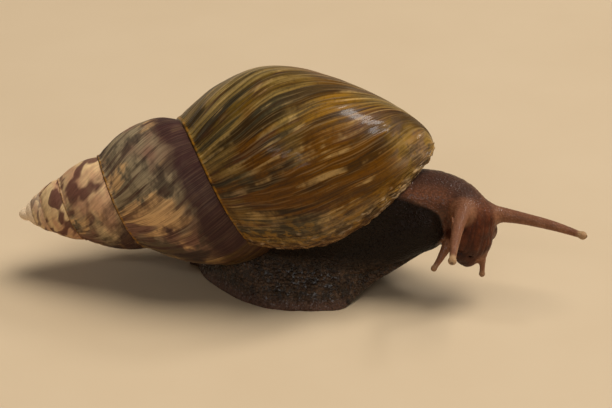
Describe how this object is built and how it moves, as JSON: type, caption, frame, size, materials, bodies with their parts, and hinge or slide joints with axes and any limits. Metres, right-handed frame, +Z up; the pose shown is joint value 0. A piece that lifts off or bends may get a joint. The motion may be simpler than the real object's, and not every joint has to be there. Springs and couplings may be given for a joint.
{
  "type": "giant african land snail",
  "caption": "Crawling giant land snail with a tall conical coiled shell, flat creeping foot, raised neck, turned head, spread feelers and stalked eyes.",
  "frame": {"origin": "centre of the bottom of the whole model's bounding box, on the plane that the sole rests on", "axes": "+X towards the head, -Y the animal's right side, +Z up"},
  "size_m": [0.1144, 0.0486, 0.0453],
  "materials": {
    "shell": "gloss",
    "skin": "satin",
    "eye": "gloss"
  },
  "bodies": {
    "root": {"shell_spire": "shell", "shell_body_whorl": "shell", "mantle_collar": "skin", "trunk": "skin", "foot_tail": "skin", "foot_middle": "skin", "foot_front": "skin", "neck": "skin", "head": "skin", "upper_tentacle_left_base": "skin", "upper_tentacle_left_shaft": "skin", "upper_tentacle_left_tip": "skin", "eye_left": "eye", "lower_tentacle_left": "skin", "mouth_lobe_left": "skin", "upper_tentacle_right_base": "skin", "upper_tentacle_right_shaft": "skin", "upper_tentacle_right_tip": "skin", "eye_right": "eye", "lower_tentacle_right": "skin", "mouth_lobe_right": "skin"}
  },
  "joints": []
}
